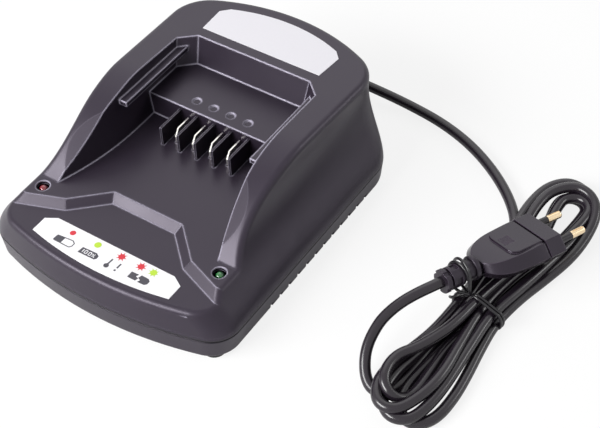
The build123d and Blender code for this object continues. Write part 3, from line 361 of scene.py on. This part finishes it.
class CHARGER_OT_stage(bpy.types.Operator):
    """Set up the camera, the white floor and the soft studio light"""

    bl_idname = "charger.stage"
    bl_label = "Camera and Studio"

    def execute(self, context):
        settings = context.scene.charger_camera
        eye = bpy.data.cameras.new("camera")
        eye.lens = settings.focal_length
        eye.sensor_width = SENSOR_WIDTH
        eye.sensor_fit = "HORIZONTAL"
        camera = bpy.data.objects.new("camera", eye)
        back = CAMERA_RIGHT.cross(CAMERA_UP)
        turned = Matrix((CAMERA_RIGHT, CAMERA_UP, back)).transposed().to_4x4()
        camera.matrix_world = Matrix.Translation(settings.place) @ turned
        context.scene.collection.objects.link(camera)
        context.scene.camera = camera
        self.floor(context)
        self.lamps(context)
        self.world(context)
        context.scene.view_settings.view_transform = "Standard"
        return {"FINISHED"}

    def floor(self, context):
        mesh = bpy.data.meshes.new("studio_floor")
        half = FLOOR_HALF
        corners = [(-half, -half, 0.0), (half, -half, 0.0), (half, half, 0.0), (-half, half, 0.0)]
        mesh.from_pydata(corners, [], [(0, 1, 2, 3)])
        floor = bpy.data.objects.new("studio_floor", mesh)
        floor.location.z = -FLOOR_GAP
        context.scene.collection.objects.link(floor)
        paint = Paint("studio_floor")
        paint.set(base_color=colour(250, 250, 250), roughness=0.9)
        tree = paint.tree
        glow = paint.node("ShaderNodeEmission", {}, {"Color": (1.0, 1.0, 1.0, 1.0), "Strength": 1.0})
        share = seen_rays(paint, FLOOR_SEEN, FLOOR_MIRRORED)
        mixed = paint.node("ShaderNodeMixShader", {}, {0: share, 2: glow})
        tree.links.new(paint.surface.outputs[0], mixed.socket.node.inputs[1])
        tree.links.new(mixed.socket, tree.nodes["Material Output"].inputs["Surface"])
        mesh.materials.append(paint.material)

    def lamps(self, context):
        for name, spot, width, height, power in LAMPS:
            data = bpy.data.lights.new(name, "AREA")
            data.shape = "RECTANGLE"
            data.size = width
            data.size_y = height
            data.energy = power
            lamp = bpy.data.objects.new(name, data)
            lamp.location = spot
            aim = LAMP_AIM - Vector(spot)
            lamp.rotation_euler = aim.to_track_quat("-Z", "Y").to_euler()
            context.scene.collection.objects.link(lamp)

    def world(self, context):
        world = bpy.data.worlds.new("studio_world")
        context.scene.world = world
        world.use_nodes = True
        tree = world.node_tree
        tree.nodes.clear()
        path = tree.nodes.new("ShaderNodeLightPath")
        seen = path.outputs["Is Camera Ray"]
        for kind in ("Is Glossy Ray", "Is Transmission Ray"):
            both = tree.nodes.new("ShaderNodeMath")
            both.operation = "MAXIMUM"
            tree.links.new(seen, both.inputs[0])
            tree.links.new(path.outputs[kind], both.inputs[1])
            seen = both.outputs[0]
        strength = tree.nodes.new("ShaderNodeMapRange")
        strength.inputs[3].default_value = LIGHT_LEVEL
        strength.inputs[4].default_value = WHITE_LEVEL
        tree.links.new(seen, strength.inputs[0])
        light = tree.nodes.new("ShaderNodeBackground")
        light.inputs["Color"].default_value = (1.0, 1.0, 1.0, 1.0)
        tree.links.new(strength.outputs[0], light.inputs["Strength"])
        end = tree.nodes.new("ShaderNodeOutputWorld")
        tree.links.new(light.outputs[0], end.inputs["Surface"])


# ------------------------------------------------------------------ mains cord, its places in millimetres
BOOT_TIP = (-2.16, 115.72, 10.0)
LEAD_ROUTE = [
    (5.67, 117.38, 10.0), (20.0, 119.4, 8.8), (38.0, 121.2, 6.4), (57.0, 121.9, 4.2),
    (79.0, 119.8, 3.2), (100.0, 113.4, 3.0), (118.6, 103.6, 3.0), (134.6, 91.8, 3.0), (147.0, 79.2, 3.0),
    (154.4, 66.4, 3.2),
]
TAIL_ROUTE = [
    (152.4, -54.0, 3.0), (148.6, -59.6, 3.0), (142.6, -60.2, 3.4), (136.6, -55.4, 6.4),
    (132.0, -46.6, 12.2), (131.7, -35.6, 18.3), (133.9, -28.0, 21.9), (137.4, -20.6, 24.6),
    (141.6, -13.6, 26.4), (145.81, -6.66, 27.19),
]
PLUG_START = (147.8, -2.1, 26.75)
PLUG_HEADING = 66.4             # degrees from +X towards +Y
PLUG_PITCH = -5.0               # degrees, the pins' end is the lower one
WAIST_Y = 6.6                   # where the tie holds the hank together


class Turn:
    """One turn of the hank: down past the waist, round the near end, up past the waist, round the far end."""

    def __init__(self, down, near, up, far):
        self.down = Vector((down[0], WAIST_Y, down[1]))
        self.near = [Vector(point) for point in near]
        self.up = Vector((up[0], WAIST_Y, up[1]))
        self.far = [Vector(point) for point in far]

    def points(self):
        return [self.down, *self.near, self.up, *self.far]


S_SHARE = 0.55                  # share of the step aside that follows an S, the rest is even


def between(start, end, count):
    """Points on a slack S from one to the other."""
    points = []
    for step in range(1, count + 1):
        share = step / (count + 1)
        ease = share * share * (3 - 2 * share)
        x = start.x + (end.x - start.x) * ((1 - S_SHARE) * share + S_SHARE * ease)
        y = start.y + (end.y - start.y) * share
        z = start.z + (end.z - start.z) * share
        points.append(Vector((x, y, z)))
    return points


LOW_TURN = Turn(
    down=(162.8, 3.0),
    near=[
        (160.0, -18.0, 3.0), (157.4, -38.0, 3.0), (156.6, -52.0, 3.0), (159.6, -61.4, 3.0),
        (165.8, -67.4, 3.0), (173.2, -66.0, 3.0), (178.2, -57.6, 3.0), (179.2, -44.0, 3.0),
        (178.2, -30.0, 3.0), (175.8, -12.0, 3.0),
    ],
    up=(174.2, 3.2),
    far=[
        (177.4, 26.0, 4.0), (182.4, 44.0, 4.0), (187.4, 63.0, 5.0), (188.6, 80.0, 6.4),
        (187.2, 94.0, 10.0), (180.0, 103.4, 12.0), (168.8, 105.0, 12.5), (160.0, 95.0, 12.4),
        (158.0, 82.0, 11.4), (158.8, 69.0, 9.6),
    ],
)
SECOND_TURN = Turn(
    down=(160.0, 8.7),
    near=[
        (156.6, -14.0, 7.8), (152.6, -34.0, 7.8), (149.8, -50.0, 8.2), (151.4, -64.8, 8.3),
        (160.0, -72.6, 7.7), (169.6, -69.0, 7.4), (173.0, -56.0, 7.4), (173.6, -40.0, 7.4),
        (172.4, -18.0, 7.8),
    ],
    up=(171.4, 8.7),
    far=[
        (176.0, 28.0, 8.6), (180.6, 54.0, 7.0), (183.6, 80.0, 4.0), (183.4, 97.0, 4.0),
        (177.6, 109.8, 4.2), (164.0, 113.4, 5.4), (154.6, 103.4, 5.6), (152.2, 88.0, 5.6),
        (154.0, 70.0, 8.0),
    ],
)
THIRD_TURN = Turn(
    down=(154.8, 8.7),
    near=[
        (154.0, -16.0, 9.6), (150.8, -32.0, 10.2), (146.8, -46.0, 10.8), (146.4, -60.6, 11.3),
        (152.8, -70.8, 11.2), (162.6, -70.0, 11.0), (168.4, -56.0, 11.0), (170.6, -40.0, 11.0),
        (168.4, -20.0, 10.0),
    ],
    up=(165.8, 8.7),
    far=[
        (169.0, 32.0, 8.7), (175.6, 56.0, 8.4), (180.6, 72.0, 8.4), (182.2, 82.0, 8.6),
        (182.8, 89.6, 8.6), (182.4, 96.2, 8.6), (178.0, 101.0, 8.6), (171.6, 101.0, 8.6),
        (167.0, 96.4, 8.6), (166.8, 89.6, 8.7), (167.6, 82.0, 8.8), (169.2, 72.0, 9.0),
        (170.6, 56.0, 9.4),
    ],
)
TOP_TURN = Turn(
    down=(163.0, 13.2),
    near=[
        (161.0, -13.0, 14.0), (157.4, -25.6, 14.6), (153.4, -36.0, 15.2), (148.4, -44.0, 15.7),
        (147.6, -52.4, 15.6), (149.8, -60.2, 14.6), (155.8, -63.8, 11.6), (161.4, -60.6, 7.8),
        (163.4, -52.0, 5.2), (162.8, -38.0, 4.6), (161.8, -18.0, 4.4),
    ],
    up=(168.4, 3.0),
    far=[
        (171.0, 34.0, 3.0), (175.4, 58.0, 3.0), (177.8, 76.0, 3.0), (178.8, 86.0, 3.0),
        (179.2, 93.4, 3.0), (179.0, 100.0, 3.0), (174.6, 104.6, 3.0), (168.4, 104.6, 3.0),
        (164.0, 100.2, 3.0), (163.8, 93.4, 3.0), (165.4, 85.0, 3.0), (167.6, 74.0, 3.0),
        (169.2, 57.0, 4.4), (165.4, 40.0, 7.0), (160.0, 23.0, 6.4),
    ],
)
TURNS = [LOW_TURN, SECOND_TURN, THIRD_TURN, TOP_TURN]
LAST_RUN = [(157.0, WAIST_Y, 3.0), (155.0, -16.0, 3.0), (154.4, -33.0, 3.0), (154.2, -47.0, 3.0)]


def hank_route():
    """All turns one after the other, each joined to the next past the far end."""
    route = []
    for index, turn in enumerate(TURNS):
        route += turn.points()
        last = index == len(TURNS) - 1
        target = Vector(LAST_RUN[0]) if last else TURNS[index + 1].down
        route += between(turn.far[-1], target, 2)
    return route + [Vector(point) for point in LAST_RUN]


STRAND_STEPS = 8                # pieces drawn between two route points


def curve_line(name, points, thickness, smooth):
    """A round strand drawn along route points given in millimetres."""
    data = bpy.data.curves.new(name, "CURVE")
    data.dimensions = "3D"
    data.bevel_depth = thickness / 2
    data.bevel_resolution = smooth
    data.resolution_u = STRAND_STEPS
    data.use_fill_caps = True
    line = data.splines.new("NURBS")
    line.points.add(len(points) - 1)
    for spot, point in zip(line.points, points):
        spot.co = (point[0] * MM, point[1] * MM, point[2] * MM, 1.0)
    line.order_u = 3
    line.use_endpoint_u = True
    thing = bpy.data.objects.new(name, data)
    bpy.context.scene.collection.objects.link(thing)
    return thing


# ------------------------------------------------------------------ tie, its places in millimetres
TIE_THICKNESS = 0.0016          # in metres, as the cord's thickness is
TIE_KNOT = Vector((160.4, 6.6, 16.4))
WAIST_MIDDLE = (165.2, 6.2)
TIE_WAIST = [                   # across and up, round the waist from the knot
    (156.0, 13.4), (151.6, 11.4), (150.9, 6.0), (152.8, 1.6), (158.5, 0.8), (165.0, 0.7), (173.0, 0.8),
    (177.4, 1.6), (178.4, 6.4), (177.0, 11.2), (172.6, 12.9), (167.4, 15.4), (163.2, 17.0),
]
TIE_END = [(160.4, 6.6, 16.4), (157.0, 6.0, 15.4), (153.0, 4.4, 12.8), (150.2, 4.0, 10.2), (149.2, 5.4, 9.0)]


def neck_place(along, side, rise):
    """A point by the plug's neck: along it from the cord's end, to its right, and above it."""
    heading, pitch = math.radians(PLUG_HEADING), math.radians(PLUG_PITCH)
    axis = Vector((math.cos(heading) * math.cos(pitch), math.sin(heading) * math.cos(pitch), math.sin(pitch)))
    right = Vector((math.sin(heading), -math.cos(heading), 0.0))
    return Vector(PLUG_START) + axis * along + right * side + right.cross(axis) * rise


NECK_ANGLES = (5, 45, 85, 125, 165, 205, 240)
UPRIGHT_ANGLE = 120             # where a leaning loop crosses its own middle


def neck_loop(along, radius, lean):
    """From the knot up over the neck and back, drawn down into a drop shape by the knot."""
    path = [TIE_KNOT, neck_place(along + lean, radius + 1.2, -radius * 0.9)]
    for turn in NECK_ANGLES:
        angle = math.radians(turn)
        drift = lean * (1 - turn / UPRIGHT_ANGLE)
        path.append(neck_place(along + drift, radius * math.cos(angle), radius * math.sin(angle)))
    path += [neck_place(along - lean, radius * 0.45, -radius * 1.4), TIE_KNOT]
    return path


def waist_loop(y, slack):
    """From the knot round the waist of the hank and back."""
    path = [TIE_KNOT]
    middle = Vector((WAIST_MIDDLE[0], y, WAIST_MIDDLE[1]))
    for x, z in TIE_WAIST:
        path.append(middle + (Vector((x, y, z)) - middle) * slack)
    return path + [TIE_KNOT]


class CHARGER_OT_tie(bpy.types.Operator):
    """Wind the wire tie round the waist of the hank and the neck of the plug"""

    bl_idname = "charger.tie"
    bl_label = "Wire Tie"

    def execute(self, context):
        loops = {
            "tie_neck_front": neck_loop(10.2, 7.0, 1.4),
            "tie_neck_back": neck_loop(12.6, 7.8, -1.0),
            "tie_waist_front": waist_loop(5.4, 1.0),
            "tie_waist_back": waist_loop(7.2, 1.02),
            "tie_loose_end": TIE_END,
        }
        paint = moulded_plastic("tie_sleeve", colour(24, 22, 26), 0.22, 0.0012, 0.00001)
        for name, path in loops.items():
            strand = curve_line(name, path, TIE_THICKNESS, 3)
            strand.data.materials.append(paint)
            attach(strand, "root")
            if name == "tie_waist_front":
                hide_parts("twist_tie")
        return {"FINISHED"}


class CHARGER_OT_cord(bpy.types.Operator):
    """Lay the mains cord from the boot to the plug, coiled into a tied hank"""

    bl_idname = "charger.cord"
    bl_label = "Mains Cord"

    def execute(self, context):
        settings = context.scene.charger
        route = [Vector(BOOT_TIP)] + [Vector(point) for point in LEAD_ROUTE]
        route += hank_route()
        route += [Vector(point) for point in TAIL_ROUTE] + [Vector(PLUG_START)]
        cord = curve_line("mains_cord", route, settings.cord_thickness, 4)
        sheath = moulded_plastic("cord_sheath", settings.cord_colour, 0.24, 0.0012, 0.00001)
        cord.data.materials.append(sheath)
        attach(cord, "root")
        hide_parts("mains_lead", "mains_hank", "mains_tail")
        carried = ("plug_body", "plug_neck", "plug_pins", "pin_sleeves", "cord_boot")
        helpers = [NODES[name] for name in carried]
        helpers += [thing for thing in bpy.data.objects if thing.name.startswith("tie_")]
        return {"FINISHED"}


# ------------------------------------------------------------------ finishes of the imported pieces
class CHARGER_OT_shell(bpy.types.Operator):
    """Give the two halves of the case their moulded finish"""

    bl_idname = "charger.shell"
    bl_label = "Case Finish"

    def execute(self, context):
        settings = context.scene.charger
        base = settings.shell_colour
        # the edge colour is a painted highlight on the rounded edges of case and guard
        edge = settings.edge_highlight_colour
        dullness = settings.shell_roughness
        shell = moulded_plastic("case_plastic", base, dullness, 0.0007, 0.00003, 0.0015, edge, SEAM_LEVEL)
        put(shell, "upper_housing", "lower_housing")
        put(dull_rubber("foot_rubber", colour(34, 34, 35)), "rubber_feet")
        guard = moulded_plastic("guard_plastic", shade(base, 0.5), 0.4, 0.0009, 0.00003, 0.0003, edge)
        put(guard, "contact_guard")
        return {"FINISHED"}


class CHARGER_OT_metal(bpy.types.Operator):
    """Give blades, pins and screws their metal"""

    bl_idname = "charger.metal"
    bl_label = "Metal Parts"

    def execute(self, context):
        put(plated_metal("blade_nickel", colour(222, 220, 214), 0.24), "contact_blades")
        put(plated_metal("pin_brass", colour(236, 214, 178), 0.2), "plug_pins")
        screws = ("housing_screws", "board_screws", "cord_clamp_screws")
        put(plated_metal("screw_zinc", colour(176, 176, 172), 0.36), *screws)
        sheet = plated_metal("sheet_aluminium", colour(190, 192, 194), 0.4)
        put(sheet, "primary_heatsink", "secondary_heatsink")
        put(plated_metal("tinned_wire", colour(200, 200, 196), 0.3), "lamp_leads")
        return {"FINISHED"}


class CHARGER_OT_lamps(bpy.types.Operator):
    """Tint the lenses of the two signal lamps"""

    bl_idname = "charger.lamps"
    bl_label = "Signal Lamps"

    def execute(self, context):
        put(lens("red_lens", colour(138, 14, 38)), "red_lamp")
        put(lens("green_lens", colour(30, 112, 50)), "green_lamp")
        return {"FINISHED"}


class CHARGER_OT_inside(bpy.types.Operator):
    """Finish the circuit board and the parts on it"""

    bl_idname = "charger.inside"
    bl_label = "Inner Parts"

    def execute(self, context):
        put(plain("board_lacquer", colour(40, 92, 58), 0.4), "circuit_board")
        put(plain("ferrite", colour(52, 52, 54), 0.6), "transformer_core")
        put(plain("winding_tape", colour(206, 176, 70), 0.45), "transformer_winding")
        put(plain("can_sleeve", colour(34, 38, 60), 0.35), "input_capacitor", "output_capacitors")
        put(plain("choke_winding", colour(150, 84, 48), 0.35, 0.4), "common_mode_choke")
        put(plain("box_capacitor", colour(190, 160, 60), 0.4), "suppression_capacitor")
        put(plain("fuse_glass", colour(200, 204, 204), 0.15), "fuse")
        parts = ("bridge_rectifier", "switching_transistor", "output_diode", "controller_chip", "optocoupler")
        put(plain("chip_resin", colour(30, 30, 31), 0.5), *parts)
        put(plain("spacer_nylon", colour(220, 218, 208), 0.5), "lamp_spacers")
        put(plain("clamp_nylon", colour(44, 44, 46), 0.5), "cord_clamp")
        put(plain("live_insulation", colour(110, 66, 40), 0.45), "live_wire")
        put(plain("neutral_insulation", colour(52, 92, 168), 0.45), "neutral_wire")
        return {"FINISHED"}


# ------------------------------------------------------------------ signs on the front sticker
# shapes are in millimetres on the plan of the sticker, the inks' layers in metres
INKS = {
    "dark_ink": colour(58, 56, 66),
    "red_ink": colour(206, 30, 50),
    "lime_ink": colour(180, 214, 48),
    "white_ink": colour(236, 235, 238),
}


def disc(x, y, radius, sides=20):
    turn = 2 * math.pi / sides
    return [(x + radius * math.cos(turn * k), y + radius * math.sin(turn * k)) for k in range(sides)]


RAYS = 8
RAY_FOOT = 1.3


def flashing(x, y, reach, core):
    """The sign for a lamp that flashes: pointed rays and a disc over them."""
    star = []
    for k in range(RAYS * 2):
        radius = reach if k % 2 == 0 else RAY_FOOT
        turn = math.pi * k / RAYS
        star.append((x + radius * math.cos(turn), y + radius * math.sin(turn)))
    return [star, disc(x, y, core)]


def stroke(x0, y0, x1, y1, width):
    """A straight bar from one point to another."""
    length = math.hypot(x1 - x0, y1 - y0)
    side_x = -(y1 - y0) / length * width / 2
    side_y = (x1 - x0) / length * width / 2
    return [
        (x0 - side_x, y0 - side_y), (x1 - side_x, y1 - side_y),
        (x1 + side_x, y1 + side_y), (x0 + side_x, y0 + side_y),
    ]


def outline(corners, width):
    """Bars from each corner to the next, and back to the first."""
    ends = corners[1:] + corners[:1]
    return [stroke(*start, *end, width) for start, end in zip(corners, ends)]


FIGURE_LINE = 0.42
FIGURE_LOW = -82.6
FIGURE_HIGH = -80.6


def zero(left, right):
    """The figure 0 on the full battery."""
    corners = [(left, FIGURE_LOW), (left, FIGURE_HIGH), (right, FIGURE_HIGH), (right, FIGURE_LOW)]
    return outline(corners, FIGURE_LINE)


BATTERY_LINE = 0.55
HALF_BATTERY = [
    (-30.1, -83.6), (-29.8, -80.1), (-20.6, -79.2), (-18.9, -80.4), (-18.9, -82.4), (-19.8, -83.7),
]
FULL_BATTERY = [(-14.1, -83.7), (-13.7, -79.8), (-5.0, -79.4), (-3.0, -80.6), (-2.9, -82.2), (-3.8, -83.5)]
BROKEN_LEFT = [(17.3, -83.5), (17.3, -79.6), (21.7, -79.4), (20.9, -81.0), (22.7, -81.6), (22.2, -83.5)]
BROKEN_RIGHT = [
    (23.1, -79.0), (27.4, -79.1), (28.8, -80.2), (28.8, -82.2), (27.7, -83.4), (23.5, -83.6), (24.2, -82.0),
    (22.4, -81.2),
]
SIGNS = {
    "dark_ink": [
        *outline(HALF_BATTERY, BATTERY_LINE),
        [(-30.1, -83.6), (-29.8, -80.1), (-25.2, -79.7), (-25.4, -83.7)],
        FULL_BATTERY,
        disc(3.9, -83.2, 1.45),
        stroke(3.9, -83.2, 4.2, -78.2, 0.9),
        stroke(9.7, -78.6, 9.6, -81.9, 0.9),
        disc(9.5, -83.5, 0.6, 12),
        BROKEN_LEFT,
        BROKEN_RIGHT,
    ],
    "red_ink": [disc(-24.2, -75.1, 1.6), *flashing(7.0, -74.7, 3.1, 1.75), *flashing(19.3, -74.7, 3.1, 1.75)],
    "lime_ink": [disc(-8.2, -74.8, 1.9), *flashing(26.9, -74.6, 3.0, 1.8)],
    "white_ink": [
        stroke(-12.1, -82.7, -12.1, -80.5, 0.5),
        *zero(-10.9, -9.6),
        *zero(-8.4, -7.1),
        stroke(-6.2, -82.7, -4.9, -80.5, FIGURE_LINE),
        disc(-6.2, -81.0, 0.4, 10),
        disc(-4.9, -82.3, 0.4, 10),
    ],
}


PRINT_RISE = 0.00002            # the print lies this far over the sticker
LAYER_STEP = 0.000002           # each shape lies this far over the one before


def add_print(printed, shape, level):
    """One printed shape as a thin flat layer on the sticker."""
    corners = [printed.verts.new((x * MM, y * MM, level)) for x, y in shape]
    face = printed.faces.new(corners)
    face.normal_update()
    if face.normal.z < 0:
        face.normal_flip()


class CHARGER_OT_labels(bpy.types.Operator):
    """Finish the two stickers and print the signs on the front one"""

    bl_idname = "charger.labels"
    bl_label = "Stickers and Signs"

    def execute(self, context):
        put(film("sign_film", colour(236, 235, 238)), "status_label")
        put(film("top_film", colour(226, 224, 230)), "top_label")
        self.signs(context)
        return {"FINISHED"}

    def signs(self, context):
        level = LABEL_LEVEL + PRINT_RISE
        for ink, shapes in SIGNS.items():
            mesh = bpy.data.meshes.new(ink)
            printed = bmesh.new()
            for shape in shapes:
                add_print(printed, shape, level)
                level += LAYER_STEP
            printed.to_mesh(mesh)
            printed.free()
            mesh.materials.append(film(ink, INKS[ink]))
            thing = bpy.data.objects.new(ink, mesh)
            context.scene.collection.objects.link(thing)
            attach(thing, "root")


class CHARGER_OT_plug(bpy.types.Operator):
    """Finish the mains plug, its neck, sleeves and the cord boot"""

    bl_idname = "charger.plug"
    bl_label = "Mains Plug"

    def execute(self, context):
        base = context.scene.charger.cord_colour
        # painted highlight: a tone four times lighter on the rounded edges of plug, neck and boot
        edge = shade(base, 4.0)
        put(moulded_plastic("plug_plastic", base, 0.24, 0.0008, 0.00002, 0.0006, edge), "plug_body")
        neck = moulded_plastic("neck_rubber", shade(base, 0.9), 0.38, 0.0009, 0.00002, 0.0004, edge)
        put(neck, "plug_neck", "cord_boot")
        put(moulded_plastic("sleeve_plastic", shade(base, 0.7), 0.3, 0.001, 0.00001), "pin_sleeves")
        put(plain("inner_sheath", base, 0.5), "inner_cord")
        return {"FINISHED"}


class CHARGER_PT_panel(bpy.types.Panel):
    """Sizes, colours and building steps of the charger"""

    bl_idname = "CHARGER_PT_panel"
    bl_label = "Battery Charger"
    bl_space_type = "VIEW_3D"
    bl_region_type = "UI"
    bl_category = "Charger"

    def draw(self, context):
        settings = context.scene.charger
        for name in ("shell_colour", "shell_roughness", "cord_colour", "cord_thickness"):
            self.layout.prop(settings, name)
        self.layout.prop(context.scene.charger_camera, "focal_length")
        for step in STEPS:
            self.layout.operator(step.bl_idname)


STEPS = (
    CHARGER_OT_stage, CHARGER_OT_tie, CHARGER_OT_cord, CHARGER_OT_shell, CHARGER_OT_metal, CHARGER_OT_lamps,
    CHARGER_OT_inside, CHARGER_OT_labels, CHARGER_OT_plug,
)
CLASSES = (ChargerSettings, CameraSettings) + STEPS + (CHARGER_PT_panel,)


def register():
    for part in CLASSES:
        bpy.utils.register_class(part)
    bpy.types.Scene.charger = bpy.props.PointerProperty(type=ChargerSettings)
    bpy.types.Scene.charger_camera = bpy.props.PointerProperty(type=CameraSettings)


def unregister():
    del bpy.types.Scene.charger_camera
    del bpy.types.Scene.charger
    for part in reversed(CLASSES):
        bpy.utils.unregister_class(part)


def main():
    register()
    bpy.ops.charger.stage()
    bpy.ops.charger.tie()
    bpy.ops.charger.cord()
    bpy.ops.charger.shell()
    bpy.ops.charger.metal()
    bpy.ops.charger.lamps()
    bpy.ops.charger.inside()
    bpy.ops.charger.labels()
    bpy.ops.charger.plug()


if __name__ == "__main__":
    main()
